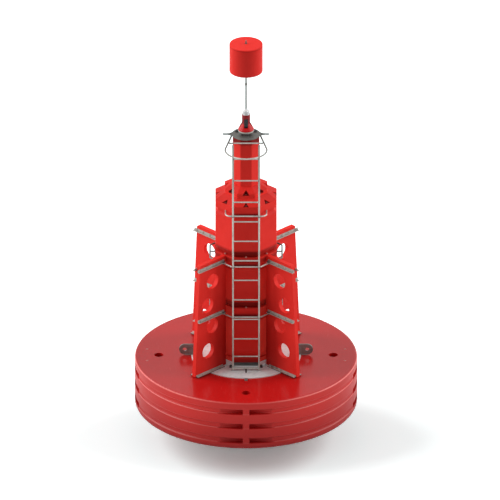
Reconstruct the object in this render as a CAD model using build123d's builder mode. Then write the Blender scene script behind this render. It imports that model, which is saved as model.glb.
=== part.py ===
from build123d import *
import math
import os

os.makedirs("parts", exist_ok=True)

# Lighted navigation buoy, in millimetres.
# The origin is the centre of the foot plate, on the ground. Z is up.
# The ladder is towards -Y, the lifting eyes are at +X and -X.

# Clearances
seat = 0.3  # between two pieces that bear on each other
bore_play = 4.0  # between the float and the tube through it
disc_gap = 0.5  # between two ballast discs

# Float
float_radius = 1500.0
float_height = 700.0
float_top_round = 20.0
float_bottom_round = 55.0
float_ground = 480.0  # underside of the float above the ground
groove_count = 3
groove_pitch = 213.0
groove_height = 70.0
groove_depth = 14.0
groove_slope = 12.0  # height taken by each sloped lip of a groove
web_width = 84.0  # upright web that stops the grooves at each quarter
pocket_step = 3.0  # from a web's side to its pocket
pocket_flat = 84.0  # from the middle of a web to where the pocket starts to run out
pocket_reach = 390.0  # from the middle of a web to where its pocket runs out
pocket_depth = 90.0
pocket_height = 80.0
pocket_drop = 4.0  # from the middle of the groove
float_hole_radius = 62.0
float_hole_centre = 1176.0  # from the axis

# Steel core, deck and tail
core_radius = 300.0
core_wall = 10.0
deck_radius = 740.0
deck_bore_radius = 210.0
deck_thick = 12.0
tab_width = 42.0
tab_length = 66.0  # past the deck's rim
tab_hole_radius = 9.0
slot_centre = 526.0  # of the slot in front of each tab, from the axis
slot_length = 96.0
slot_width = 12.0
foot_edge = 15.0  # of the foot plate, past the discs
foot_thick = 20.0
disc_radius = 430.0
disc_thick = 58.0
disc_count = 3
gusset_count = 8
gusset_inset = 80.0  # from the rim of the base ring
gusset_height = 170.0
gusset_thick = 12.0
gusset_tip = 40.0
mooring_hole_radius = 30.0
mooring_eye_radius = 68.0
mooring_eye_reach = 102.0  # of its centre, from the tube
mooring_eye_height = 275.0  # above the ground
mooring_eye_thick = 35.0

# Lifting eyes
eye_radius = 75.0
eye_hole_radius = 27.0
eye_overhang = 88.0  # of its centre, past the deck's rim
eye_thick = 25.0
eye_root_inset = 120.0  # of the inner end, from the deck's rim
eye_shoulder_inset = 40.0  # of the place where the lug has its full height
eye_root_height = 60.0

# Tower, by the distance from its axis to its flats
tower_face = 414.0
tower_corner = 26.0
module_count = 3
module_height = 752.0
module_inset = 38.0  # ledge round the foot of a module
module_bevel = 92.0
module_shoulder = 568.0  # top of the flat body
module_neck_inset = 30.0
module_neck_slope = 34.0
module_band = 94.0
module_band_slope = 14.0
base_band_height = 58.0
collar_height = 76.0
collar_inset = 18.0
collar_wall = 12.0
collar_flange = 52.0
collar_corner = 12.0

# Roof and upper tower
roof_rim = 11.0
roof_tier_face = 288.0
roof_tier_foot = 86.0  # height of the foot of the tier above the roof's seat
roof_tier_height = 58.0
roof_height = 204.0
roof_pocket_width = 90.0
rim_pocket_depth = 66.0
rim_pocket_floor = 6.0
tier_pocket_depth = 66.0
tier_pocket_drop = 28.0  # floor below the tier's edge
roof_corner = 20.0
mast_face = 179.0
mast_ledge = 9.0  # of the roof's top round the upper tower
mast_corner = 14.0
mast_height = 699.0

# Top plate
plate_radius = 192.0
plate_thick = 12.0
arm_reach = 312.0
arm_half_width = 13.0
arm_blend_radius = 92.0
plate_hole_radius = 20.0
plate_hole_inset = 51.0  # of its centre, from the plate's rim
plate_hole_angle = 28.0

# Fins, by radius from the axis and height above the float
fin_thick = 60.0
fin_foot_reach = 998.0
fin_top_reach = 907.0
fin_top = 1642.0
fin_round = 18.0
fin_hole_radius = 108.0
fin_holes = (
    # radius, height
    (667.0, 1340.0),
    (764.0, 1008.0),
    (674.0, 678.0),
    (752.0, 328.0),
)

# Rails along both sides of each fin
rail_gap = 38.0  # from the tower's flats, measured along a fin
rail_overhang = 45.0  # past the fin's top corner
rail_leg = 37.0
rail_thick = 6.0
foot_rail_gap = 64.0  # from the tower's flats, measured along a fin
foot_rail_inset = 13.0  # from the fin's foot corner
foot_rail_width = 45.0
foot_rail_thick = 8.0

# Tie bars from fin to fin
lower_tie_height = 800.0  # middle of a bar, above the float
upper_tie_drop = 89.0  # below the fins' top
bar_radius = 10.0
tie_gap = 72.0  # from the tower's flats to the middle of a bar's straight stretch
tie_end_gap = 66.0  # from the tower's flats to where a bar meets the fin
tie_bend = 42.0
tie_foot_thick = 8.0
tie_foot_radius = 30.0
stem_radius = 9.0
stem_turns = (90.0, 180.0, 270.0)  # from the ladder's side
top_tie_drop = 90.0  # below the tower's top
top_tie_half_width = 276.0
top_tie_bend = 70.0

# Ladder
ladder_half_width = 176.0
stile_radius = 12.5
rung_radius = 10.0
stile_foot = 34.0  # above the float
low_rungs = (46.0, 223.0)
rung_start = 486.0
rung_pitch = 292.5  # along the stiles
ladder_bend_rise = 144.0  # above the tower's top
ladder_bend_radius = 90.0

# Guard hoop
hoop_bar_radius = 11.0
hoop_post_radius = 9.0
hoop_drop = 25.0  # below the top plate
hoop_root = 198.0
hoop_radius = 281.0
hoop_centre = 435.0
crossbar_depth = 223.0

# Lantern
spacer_radius = 11.0
spacer_inset = 24.0  # of its centre, from the flange's rim
spacer_count = 4
spacer_height = 66.0
lantern_flange_radius = 106.0
lantern_flange = 12.0
lantern_neck_radius = 57.0
lantern_neck_foot = 104.0
lantern_neck_top = 228.0
lens_ledge = 6.0  # of the neck round the lens
lens_wall = 21.0
cell_width = 53.0
cell_height = 130.0
cell_thick = 5.0
cell_sink = 7.0  # flat on the neck, in from its radius
cell_foot = 44.0

# Topmark
pole_radius = 11.0
pole_inset = 42.0  # of its centre, from the plate's rim
can_radius = 225.0
can_height = 408.0
can_rise = 868.0  # above the top plate
can_round = 9.0
can_lip_depth = 18.0
can_lip_height = 7.0
can_lip_sink = 4.0
socket_depth = 190.0
pole_collar_radius = 17.0
pole_collar_height = 26.0
pole_collar_drop = 212.0
knob_radius = 15.0
knob_height = 16.0
stud_radius = 9.0
stud_height = 46.0

# Sizes and places that follow from the sizes
foot_radius = disc_radius + foot_edge
gusset_reach = deck_radius - gusset_inset
tab_reach = deck_radius + tab_length
eye_centre = deck_radius + eye_overhang
eye_root = deck_radius - eye_root_inset
eye_shoulder = deck_radius - eye_shoulder_inset
mooring_eye_centre = core_radius + mooring_eye_reach
collar_face = tower_face - collar_inset
roof_top_face = mast_face + mast_ledge
plate_hole_centre = plate_radius - plate_hole_inset
pole_offset = plate_radius - pole_inset
rail_root = tower_face + rail_gap
rail_end = fin_top_reach + rail_overhang
foot_rail_root = tower_face + foot_rail_gap
foot_rail_end = fin_foot_reach - foot_rail_inset
tie_face = tower_face + tie_gap
tie_reach = tower_face + tie_end_gap
spacer_centre = lantern_flange_radius - spacer_inset
lens_radius = lantern_neck_radius - lens_ledge
float_top = float_ground + float_height
deck_top = float_top + deck_thick
band_foot = deck_top + collar_height
tower_foot = band_foot + base_band_height
tower_top = tower_foot + module_count * module_height
roof_top = tower_top + roof_height
plate_bottom = roof_top + mast_height
plate_top = plate_bottom + plate_thick
lantern_foot = plate_top + spacer_height
upper_tie_height = fin_top - upper_tie_drop
can_foot = plate_top + can_rise
hoop_level = plate_bottom - hoop_drop
bend_level = tower_top + ladder_bend_rise
upright_length = bend_level - float_top
ladder_line = tie_face + bar_radius + seat + stile_radius
lean_length = math.hypot(ladder_line - crossbar_depth, hoop_level - bend_level)
ladder_length = upright_length + lean_length
fin_angles = (45.0, 135.0, 225.0, 315.0)
quarter_angles = (0.0, 90.0, 180.0, 270.0)


def radial_plane(angle):
    """Upright plane through the axis: local x is outwards, local y is up."""
    turn = math.radians(angle)
    return Plane(
        origin=(0, 0, 0),
        x_dir=(math.cos(turn), math.sin(turn), 0),
        z_dir=(math.sin(turn), -math.cos(turn), 0),
    )


def level_plane(angle, height):
    """Level plane at a height, with local x pointing outwards at an angle."""
    turn = math.radians(angle)
    return Plane(
        origin=(0, 0, height),
        x_dir=(math.cos(turn), math.sin(turn), 0),
        z_dir=(0, 0, 1),
    )


def keep(piece, name):
    """Label a finished piece and write its file."""
    piece.label = name
    export_step(piece, f"parts/{name}.step")


def octagon_stack(sections, corner):
    """Loft octagons given as (height, distance to the flats)."""
    with BuildPart() as stack:
        for height, face in sections:
            with BuildSketch(Plane.XY.offset(height)) as outline:
                RegularPolygon(face, 8, major_radius=False, rotation=22.5)
                fillet(outline.vertices(), corner)
        loft(ruled=True)
    return stack.part


def groove_middles():
    """Heights of the grooves round the float's side, from the lowest up."""
    lowest = float_ground + float_height / 2 - groove_pitch * (groove_count - 1) / 2
    return [lowest + groove_pitch * i for i in range(groove_count)]


def groove_cut(angle, middle):
    """Groove round one quarter of the side, from web to web."""
    half = groove_height / 2
    floor_half = half - groove_slope
    web_turn = math.degrees(math.asin(web_width / 2 / float_radius))
    with BuildPart() as groove:
        with BuildSketch(radial_plane(angle + web_turn)):
            with BuildLine():
                Polyline(
                    (float_radius + groove_depth, middle - half),
                    (float_radius, middle - half),
                    (float_radius - groove_depth, middle - floor_half),
                    (float_radius - groove_depth, middle + floor_half),
                    (float_radius, middle + half),
                    (float_radius + groove_depth, middle + half),
                    close=True,
                )
            make_face()
        revolve(axis=Axis.Z, revolution_arc=90 - 2 * web_turn)
    return groove.part


def pocket_cut(angle, middle, side):
    """Wedge that deepens a groove towards one side of a web."""
    pocket_side = web_width / 2 + pocket_step
    pocket_floor = float_radius - pocket_depth
    runout = math.sqrt(float_radius**2 - pocket_reach**2)
    bottom = middle - pocket_drop - pocket_height / 2
    with BuildPart() as pocket:
        with BuildSketch(level_plane(angle, bottom)):
            with BuildLine():
                Polyline(
                    (pocket_floor, side * pocket_side),
                    (pocket_floor, side * pocket_flat),
                    (runout, side * pocket_reach),
                    (float_radius, side * pocket_reach),
                    (float_radius, side * pocket_side),
                    close=True,
                )
            make_face()
        extrude(amount=pocket_height)
    return pocket.part


def make_float():
    """Moulded float: rounded rims, four tubes, and grooves that stop at webs."""
    places = [(angle, middle) for angle in quarter_angles for middle in groove_middles()]
    grooves = [groove_cut(angle, middle) for angle, middle in places]
    pockets = [pocket_cut(angle, middle, side) for angle, middle in places for side in (1, -1)]
    with BuildPart() as body:
        with BuildSketch(Plane.XZ) as outline:
            with BuildLine():
                Polyline(
                    (core_radius + bore_play, float_ground),
                    (float_radius, float_ground),
                    (float_radius, float_top),
                    (core_radius + bore_play, float_top),
                    close=True,
                )
            make_face()
            foot_rim = outline.vertices().group_by(Axis.Y)[0].sort_by(Axis.X)[-1]
            fillet(foot_rim, float_bottom_round)
            top_rim = outline.vertices().group_by(Axis.Y)[-1].sort_by(Axis.X)[-1]
            fillet(top_rim, float_top_round)
        revolve(axis=Axis.Z)
        with BuildSketch(Plane.XY.offset(float_ground)):
            with PolarLocations(float_hole_centre, len(quarter_angles)):
                Circle(float_hole_radius)
        extrude(amount=float_height, mode=Mode.SUBTRACT)
        for cut in grooves + pockets:
            add(cut, mode=Mode.SUBTRACT)
    return body.part


def make_ring(bottom, thick, inner, outer):
    """Flat ring plate."""
    with BuildPart() as ring:
        with BuildSketch(Plane.XY.offset(bottom)):
            Circle(outer)
            Circle(inner, mode=Mode.SUBTRACT)
        extrude(amount=thick)
    return ring.part


def make_deck():
    """Deck ring with a drilled tab and a slot at the front and at the back."""
    with BuildPart() as deck:
        with BuildSketch(Plane.XY.offset(float_top)):
            Circle(deck_radius)
            with Locations((0, 0)):
                Rectangle(tab_width, 2 * tab_reach)
            Circle(deck_bore_radius, mode=Mode.SUBTRACT)
            tab_hole = tab_reach - tab_width / 2
            with Locations((0, -tab_hole), (0, tab_hole)):
                Circle(tab_hole_radius, mode=Mode.SUBTRACT)
            with Locations((0, -slot_centre), (0, slot_centre)):
                Rectangle(slot_width, slot_length, mode=Mode.SUBTRACT)
        extrude(amount=deck_thick)
    return deck.part


def make_core():
    """Tube from the foot plate, through the float, to the deck ring."""
    with BuildPart() as core:
        with BuildSketch(Plane.XY.offset(foot_thick)):
            Circle(core_radius)
            Circle(core_radius - core_wall, mode=Mode.SUBTRACT)
        extrude(amount=float_top - foot_thick)
    return core.part


def make_ballast():
    """Stacked discs round the tube, on the foot plate."""
    with BuildPart() as discs:
        for i in range(disc_count):
            base = foot_thick + seat + i * (disc_thick + disc_gap)
            with BuildSketch(Plane.XY.offset(base)):
                Circle(disc_radius)
                Circle(core_radius + seat, mode=Mode.SUBTRACT)
            extrude(amount=disc_thick)
    return discs.part


def make_foot():
    """Round plate that the buoy stands on."""
    with BuildPart() as foot:
        with BuildSketch():
            Circle(foot_radius)
        extrude(amount=foot_thick)
    return foot.part


def make_gussets():
    """Triangular plates under the base ring, round the tube."""
    top = float_ground - deck_thick
    with BuildPart() as gussets:
        for i in range(gusset_count):
            plane = radial_plane((i + 0.5) * 360 / gusset_count)
            with BuildSketch(plane):
                with BuildLine():
                    Polyline(
                        (core_radius + seat, top - seat),
                        (gusset_reach, top - seat),
                        (gusset_reach, top - gusset_tip),
                        (core_radius + seat + gusset_tip, top - gusset_height),
                        (core_radius + seat, top - gusset_height),
                        close=True,
                    )
                make_face()
            extrude(amount=gusset_thick / 2, both=True)
    return gussets.part


def make_mooring_eyes():
    """Two eyes on the tail tube for the mooring bridle."""
    with BuildPart() as eyes:
        for angle in (0, 180):
            with BuildSketch(radial_plane(angle)):
                root = core_radius + seat
                with Locations((mooring_eye_centre, mooring_eye_height)):
                    Circle(mooring_eye_radius)
                with BuildLine():
                    Polyline(
                        (root, mooring_eye_height - mooring_eye_radius),
                        (mooring_eye_centre, mooring_eye_height - mooring_eye_radius),
                        (mooring_eye_centre, mooring_eye_height + mooring_eye_radius),
                        (root, mooring_eye_height + mooring_eye_radius),
                        close=True,
                    )
                make_face()
                with Locations((mooring_eye_centre, mooring_eye_height)):
                    Circle(mooring_hole_radius, mode=Mode.SUBTRACT)
            extrude(amount=mooring_eye_thick / 2, both=True)
    return eyes.part


def make_lifting_eye(angle):
    """Upright lug on the deck with a round end about its hole."""
    foot = deck_top + seat
    with BuildPart() as lug:
        with BuildSketch(radial_plane(angle)):
            with Locations((eye_centre, foot + eye_radius)):
                Circle(eye_radius)
            with BuildLine():
                Polyline(
                    (eye_root, foot),
                    (eye_centre, foot),
                    (eye_centre, foot + 2 * eye_radius),
                    (eye_shoulder, foot + 2 * eye_radius),
                    (eye_root, foot + eye_root_height),
                    close=True,
                )
            make_face()
            with Locations((eye_centre, foot + eye_radius)):
                Circle(eye_hole_radius, mode=Mode.SUBTRACT)
        extrude(amount=eye_thick / 2, both=True)
    return lug.part


def make_collar():
    """Eight-sided steel stand between the deck ring and the tower."""
    flange_face = collar_face - collar_flange
    with BuildPart() as collar:
        with BuildSketch(Plane.XY.offset(deck_top)) as outline:
            RegularPolygon(collar_face, 8, major_radius=False, rotation=22.5)
            fillet(outline.vertices(), collar_corner)
        extrude(amount=collar_height)
        with BuildSketch(Plane.XY.offset(deck_top)):
            RegularPolygon(collar_face - collar_wall, 8, major_radius=False, rotation=22.5)
        extrude(amount=collar_height - collar_wall, mode=Mode.SUBTRACT)
        with BuildSketch(Plane.XY.offset(deck_top)):
            RegularPolygon(flange_face, 8, major_radius=False, rotation=22.5)
        extrude(amount=collar_height, mode=Mode.SUBTRACT)
    return collar.part


def make_base_band():
    """Eight-sided moulded band on the collar, under the lowest module."""
    return octagon_stack(((band_foot, tower_face), (tower_foot, tower_face)), tower_corner)


def make_module(index):
    """Tower module: ledge and bevel, flat body, neck and top band."""
    foot = tower_foot + index * module_height
    top_band = module_height - module_band
    neck_face = tower_face - module_neck_inset
    sections = (
        (foot, tower_face - module_inset),
        (foot + module_bevel, tower_face),
        (foot + module_shoulder, tower_face),
        (foot + module_shoulder + module_neck_slope, neck_face),
        (foot + top_band - module_band_slope, neck_face),
        (foot + top_band, tower_face),
        (foot + module_height, tower_face),
    )
    return octagon_stack(sections, tower_corner)


def make_roof():
    """Two-tier roof with bolt pockets in both tiers of each face."""
    sections = (
        (tower_top, tower_face),
        (tower_top + roof_rim, tower_face),
        (tower_top + roof_tier_foot, roof_tier_face),
        (tower_top + roof_tier_foot + roof_tier_height, roof_tier_face),
        (tower_top + roof_height, roof_top_face),
    )
    tier_floor = roof_tier_foot + roof_tier_height - tier_pocket_drop
    pocket_rows = (
        # distance to the face, depth, floor, head
        (tower_face, rim_pocket_depth, rim_pocket_floor, roof_tier_foot),
        (roof_tier_face, tier_pocket_depth, tier_floor, roof_height),
    )
    with BuildPart() as roof:
        add(octagon_stack(sections, roof_corner))
        for face, depth, floor, head in pocket_rows:
            for side in range(8):
                with BuildSketch(level_plane(side * 45, tower_top + floor)):
                    with BuildLine():
                        Polyline(
                            (face - depth, 0),
                            (face, roof_pocket_width / 2),
                            (face, -roof_pocket_width / 2),
                            close=True,
                        )
                    make_face()
                extrude(amount=head - floor, mode=Mode.SUBTRACT)
    return roof.part


def make_mast():
    """Narrow upper tower."""
    sections = ((roof_top, mast_face), (plate_bottom, mast_face))
    return octagon_stack(sections, mast_corner)


def make_top_plate():
    """Disc with two side arms that run into it in hollow curves."""
    with BuildPart() as plate:
        with BuildSketch(Plane.XY.offset(plate_bottom)) as outline:
            Circle(plate_radius)
            with PolarLocations(plate_hole_centre, 1, plate_hole_angle):
                Circle(plate_hole_radius, mode=Mode.SUBTRACT)
            with PolarLocations(plate_hole_centre, 1, 180 - plate_hole_angle):
                Circle(plate_hole_radius, mode=Mode.SUBTRACT)
            Rectangle(2 * arm_reach, 2 * arm_half_width)
            root_x = math.sqrt(plate_radius**2 - arm_half_width**2)
            roots = [
                corner
                for corner in outline.vertices()
                if abs(abs(corner.X) - root_x) < seat and abs(abs(corner.Y) - arm_half_width) < seat
            ]
            fillet(roots, arm_blend_radius)
        extrude(amount=plate_thick)
    return plate.part


def make_fin(angle):
    """Radial daymark panel with four round holes."""
    foot = deck_top + seat
    head = float_top + fin_top
    with BuildPart() as fin:
        with BuildSketch(radial_plane(angle)) as outline:
            with BuildLine():
                Polyline(
                    (tower_face + seat, foot),
                    (fin_foot_reach, foot),
                    (fin_top_reach, head),
                    (tower_face + seat, head),
                    close=True,
                )
            make_face()
            fillet(outline.vertices().sort_by(Axis.Y)[-2:], fin_round)
            for radius, height in fin_holes:
                with Locations((radius, float_top + height)):
                    Circle(fin_hole_radius, mode=Mode.SUBTRACT)
        extrude(amount=fin_thick / 2, both=True)
    return fin.part


def make_rails(level):
    """Angle bars on both sides of every fin, just above the tie bars of one level."""
    inner = fin_thick / 2 + seat
    middle = (rail_root + rail_end) / 2
    foot = float_top + level + bar_radius + seat
    legs = (
        # width, height
        (rail_leg, rail_thick),
        (rail_thick, rail_leg),
    )
    with BuildPart() as rails:
        for angle in fin_angles:
            for width, height in legs:
                side = inner + width / 2
                with BuildSketch(Plane.XY.offset(foot)):
                    with Locations(Rotation(0, 0, angle)):
                        with Locations((middle, side), (middle, -side)):
                            Rectangle(rail_end - rail_root, width)
                extrude(amount=height)
    return rails.part


def make_foot_rails():
    """Flat bars on the deck along both sides of every fin's foot."""
    middle = (foot_rail_root + foot_rail_end) / 2
    side = fin_thick / 2 + seat + foot_rail_width / 2
    with BuildPart() as rails:
        for angle in fin_angles:
            with BuildSketch(Plane.XY.offset(deck_top + seat)):
                with Locations(Rotation(0, 0, angle)):
                    with Locations((middle, side), (middle, -side)):
                        Rectangle(foot_rail_end - foot_rail_root, foot_rail_width)
            extrude(amount=foot_rail_thick)
    return rails.part


def bent_bar(points, bend, radius):
    """Round bar through the points, with bends of one radius."""
    with BuildPart() as bar:
        with BuildLine() as line:
            FilletPolyline(*points, radius=bend)
        with BuildSketch(Plane(origin=line.line @ 0, z_dir=line.line % 0)):
            Circle(radius)
        sweep()
    return bar.part


def make_tie_bars(height):
    """Bent bars from fin to fin round the tower, all but the ladder's one on a stem."""
    level = float_top + height
    fin_side = fin_thick / 2 + seat
    corner_x = tie_reach * math.sqrt(2) - tie_face
    end_x = (tie_reach - fin_side) / math.sqrt(2)
    end_y = -(tie_reach + fin_side) / math.sqrt(2)
    points = (
        (-end_x, end_y, level),
        (-corner_x, -tie_face, level),
        (corner_x, -tie_face, level),
        (end_x, end_y, level),
    )
    front_bar = bent_bar(points, tie_bend, bar_radius)
    stem_foot = tower_face + seat
    with BuildPart() as ties:
        for turn in quarter_angles:
            add(front_bar.rotate(Axis.Z, turn))
        for turn in stem_turns:
            plane = Plane(
                origin=(0, 0, level),
                x_dir=(0, 0, 1),
                z_dir=Vector(0, -1, 0).rotate(Axis.Z, turn),
            )
            with BuildSketch(plane.offset(stem_foot)):
                Circle(tie_foot_radius)
            extrude(amount=tie_foot_thick)
            with BuildSketch(plane.offset(stem_foot)):
                Circle(stem_radius)
            extrude(amount=tie_face - stem_foot)
    return ties.part


def make_top_tie():
    """U-shaped bar that holds the ladder to the top of the tower."""
    level = tower_top - top_tie_drop
    tower_side = tower_face + seat
    bar_width = 2 * bar_radius
    end_y = bar_width - (tower_side * math.sqrt(2) - top_tie_half_width)
    points = (
        (-top_tie_half_width, end_y, level),
        (-top_tie_half_width, -tie_face, level),
        (top_tie_half_width, -tie_face, level),
        (top_tie_half_width, end_y, level),
    )
    with BuildPart() as tie:
        add(bent_bar(points, top_tie_bend, bar_radius))
        with BuildSketch(Plane.XY.offset(level)):
            RegularPolygon(tower_side, 8, major_radius=False, rotation=22.5)
        extrude(amount=bar_width, both=True, mode=Mode.SUBTRACT)
    return tie.part


def ladder_point(along):
    """Depth and height at a distance along the ladder from the float's top."""
    if along < upright_length:
        return -ladder_line, float_top + along
    share = (along - upright_length) / lean_length
    depth = ladder_line - share * (ladder_line - crossbar_depth)
    return -depth, bend_level + share * (hoop_level - bend_level)


def make_stiles():
    """Two tubes, upright and then leaning in to the hoop's crossbar."""
    end_y, end_z = ladder_point(ladder_length - (bar_radius + stile_radius + seat))
    x = ladder_half_width
    points = (
        (x, -ladder_line, float_top + stile_foot),
        (x, -ladder_line, bend_level),
        (x, end_y, end_z),
    )
    stile = bent_bar(points, ladder_bend_radius, stile_radius)
    with BuildPart() as stiles:
        add(stile)
        add(stile.mirror(Plane.YZ))
    return stiles.part


def rung_places():
    """Depth and height of every rung, from the foot up."""
    top_gap = rung_pitch / 2  # kept free under the crossbar at least
    count = 1 + int((ladder_length - rung_start - top_gap) // rung_pitch)
    upper_rungs = [rung_start + rung_pitch * i for i in range(count)]
    return [ladder_point(along) for along in (*low_rungs, *upper_rungs)]


def make_rungs():
    """Round rungs between the stiles."""
    length = 2 * (ladder_half_width - stile_radius - seat)
    with BuildPart() as rungs:
        for depth, height in rung_places():
            with BuildSketch(Plane.YZ.offset(-length / 2)):
                with Locations((depth, height)):
                    Circle(rung_radius)
            extrude(amount=length)
    return rungs.part


def hoop_shoulder():
    """Half width and depth of the place where a leg of the hoop meets its bow."""
    reach = math.hypot(hoop_root, hoop_centre)
    turn = math.atan2(hoop_root, hoop_centre) + math.acos(hoop_radius / reach)
    return hoop_radius * math.sin(turn), hoop_centre - hoop_radius * math.cos(turn)


def make_hoop():
    """Guard hoop: a round bow in front, two legs and a post at each end."""
    half_width, depth = hoop_shoulder()
    with BuildPart() as hoop:
        with BuildLine():
            left = Line((-hoop_root, 0, hoop_level), (-half_width, -depth, hoop_level))
            bow = ThreePointArc(
                left @ 1,
                (0, -hoop_centre - hoop_radius, hoop_level),
                (half_width, -depth, hoop_level),
            )
            Line(bow @ 1, (hoop_root, 0, hoop_level))
        with BuildSketch(Plane(origin=left @ 0, z_dir=left % 0)):
            Circle(hoop_bar_radius)
        sweep()
        stand = left @ 0 + (left % 0) * hoop_bar_radius
        with BuildSketch(Plane.XY.offset(hoop_level)):
            with Locations((stand.X, stand.Y), (-stand.X, stand.Y)):
                Circle(hoop_post_radius)
        extrude(amount=hoop_drop - seat)
    return hoop.part


def make_crossbar():
    """Bar between the legs of the hoop that ends the ladder."""
    half_width, depth = hoop_shoulder()
    splay = math.atan2(half_width - hoop_root, depth)
    leg = hoop_root + crossbar_depth * math.tan(splay)
    reach = leg - (hoop_bar_radius + seat) / math.cos(splay) - bar_radius * math.tan(splay)
    with BuildPart() as crossbar:
        with BuildSketch(Plane.YZ.offset(-reach)):
            with Locations((-crossbar_depth, hoop_level)):
                Circle(bar_radius)
        extrude(amount=2 * reach)
    return crossbar.part


def make_spacers():
    """Posts that carry the lantern above the top plate."""
    with BuildPart() as spacers:
        with BuildSketch(Plane.XY.offset(plate_top)):
            with PolarLocations(spacer_centre, spacer_count, 360 / spacer_count / 2):
                Circle(spacer_radius)
        extrude(amount=spacer_height)
    return spacers.part


def cell_planes():
    """Upright planes on the four flats of the lantern's neck."""
    for angle in quarter_angles:
        turn = math.radians(angle)
        yield Plane(
            origin=(0, 0, lantern_foot + cell_foot + cell_height / 2),
            x_dir=(-math.sin(turn), math.cos(turn), 0),
            z_dir=(math.cos(turn), math.sin(turn), 0),
        )


def make_lantern():
    """Moulded lantern body: flange, cone and neck with four flats."""
    base = lantern_foot
    with BuildPart() as lantern:
        with BuildSketch(Plane.XZ):
            with BuildLine():
                Polyline(
                    (0, base),
                    (lantern_flange_radius, base),
                    (lantern_flange_radius, base + lantern_flange),
                    (lantern_neck_radius, base + lantern_neck_foot),
                    (lantern_neck_radius, base + lantern_neck_top),
                    (0, base + lantern_neck_top),
                    close=True,
                )
            make_face()
        revolve(axis=Axis.Z)
        for plane in cell_planes():
            with BuildSketch(plane.offset(lantern_neck_radius - cell_sink)):
                Rectangle(cell_width, cell_height)
            extrude(amount=lantern_flange_radius, mode=Mode.SUBTRACT)
    return lantern.part


def make_cells():
    """Small solar panels set into the flats of the neck."""
    with BuildPart() as cells:
        for plane in cell_planes():
            with BuildSketch(plane.offset(lantern_neck_radius - cell_sink + seat)):
                Rectangle(cell_width - 2 * seat, cell_height - 2 * seat)
            extrude(amount=cell_thick)
    return cells.part


def make_lens():
    """Clear cap with a straight wall and a domed top."""
    foot = lantern_foot + lantern_neck_top
    with BuildPart() as lens:
        with BuildSketch(Plane.XY.offset(foot)):
            Circle(lens_radius)
        extrude(amount=lens_wall)
        with BuildSketch(Plane.XZ):
            with BuildLine():
                shoulder = foot + lens_wall
                Line((0, shoulder), (lens_radius, shoulder))
                RadiusArc((lens_radius, shoulder), (0, shoulder + lens_radius), -lens_radius)
                Line((0, shoulder + lens_radius), (0, shoulder))
            make_face()
        revolve(axis=Axis.Z)
    return lens.part


def make_pole():
    """Pole from the top plate into the socket of the can."""
    top = can_foot + socket_depth
    with BuildPart() as pole:
        with BuildSketch(Plane.XY.offset(plate_top)):
            with Locations((0, pole_offset)):
                Circle(pole_radius)
        extrude(amount=top - plate_top)
    return pole.part


def make_pole_collar():
    """Clamp collar below the can."""
    foot = can_foot - pole_collar_drop
    with BuildPart() as collar:
        with BuildSketch(Plane.XY.offset(foot)):
            with Locations((0, pole_offset)):
                Circle(pole_collar_radius)
                Circle(pole_radius + seat, mode=Mode.SUBTRACT)
        extrude(amount=pole_collar_height)
    return collar.part


def make_can():
    """Cylindrical topmark with a lip line under its top edge."""
    foot = can_foot
    head = foot + can_height
    with BuildPart() as can:
        with BuildSketch(Plane.XZ):
            with BuildLine():
                Polyline(
                    (pole_radius + seat, foot),
                    (can_radius, foot),
                    (can_radius, head - can_lip_depth - can_lip_height),
                    (can_radius - can_lip_sink, head - can_lip_depth - can_lip_height),
                    (can_radius - can_lip_sink, head - can_lip_depth),
                    (can_radius, head - can_lip_depth),
                    (can_radius, head),
                    (0, head),
                    (0, foot + socket_depth + seat),
                    (pole_radius + seat, foot + socket_depth + seat),
                    close=True,
                )
            make_face()
        revolve(axis=Axis.Z)
        rims = can.edges().filter_by(GeomType.CIRCLE)
        widest = rims.filter_by(lambda rim: abs(rim.radius - can_radius) < 0.01)
        fillet([widest.sort_by(Axis.Z)[0], widest.sort_by(Axis.Z)[-1]], can_round)
    return can.part.moved(Location((0, pole_offset, 0)))


def make_knob():
    """Nut and stud on top of the can."""
    foot = can_foot + can_height
    with BuildPart() as knob:
        with BuildSketch(Plane.XY.offset(foot)):
            with Locations((0, pole_offset)):
                RegularPolygon(knob_radius, 6)
        extrude(amount=knob_height)
        with BuildSketch(Plane.XY.offset(foot)):
            with Locations((0, pole_offset)):
                Circle(stud_radius)
        extrude(amount=stud_height)
    return knob.part


fin_names = {45.0: "back_right", 135.0: "back_left", 225.0: "front_left", 315.0: "front_right"}

keep(make_float(), "float_body")
keep(make_core(), "core_tube")
keep(make_ring(float_ground - deck_thick, deck_thick, core_radius + seat, deck_radius), "base_ring")
keep(make_deck(), "deck_ring")
keep(make_gussets(), "tail_gussets")
keep(make_ballast(), "ballast_discs")
keep(make_foot(), "foot_plate")
keep(make_mooring_eyes(), "mooring_eyes")
keep(make_lifting_eye(0), "lifting_eye_right")
keep(make_lifting_eye(180), "lifting_eye_left")
keep(make_collar(), "tower_collar")
keep(make_base_band(), "tower_base")
for index in range(module_count):
    keep(make_module(index), f"tower_module_{index + 1}")
keep(make_roof(), "tower_roof")
keep(make_mast(), "upper_tower")
keep(make_top_plate(), "top_plate")
for angle in fin_angles:
    keep(make_fin(angle), f"fin_{fin_names[angle]}")
keep(make_foot_rails(), "fin_foot_rails")
for name, level in (("lower", lower_tie_height), ("upper", upper_tie_height)):
    keep(make_rails(level), f"fin_rails_{name}")
    keep(make_tie_bars(level), f"tie_bars_{name}")
keep(make_top_tie(), "tie_bar_top")
keep(make_stiles(), "ladder_stiles")
keep(make_rungs(), "ladder_rungs")
keep(make_hoop(), "guard_hoop")
keep(make_crossbar(), "hoop_crossbar")
keep(make_spacers(), "lantern_spacers")
keep(make_lantern(), "lantern_body")
keep(make_cells(), "lantern_cells")
keep(make_lens(), "lantern_lens")
keep(make_pole(), "topmark_pole")
keep(make_pole_collar(), "topmark_collar")
keep(make_can(), "topmark_can")
keep(make_knob(), "topmark_knob")
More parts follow.
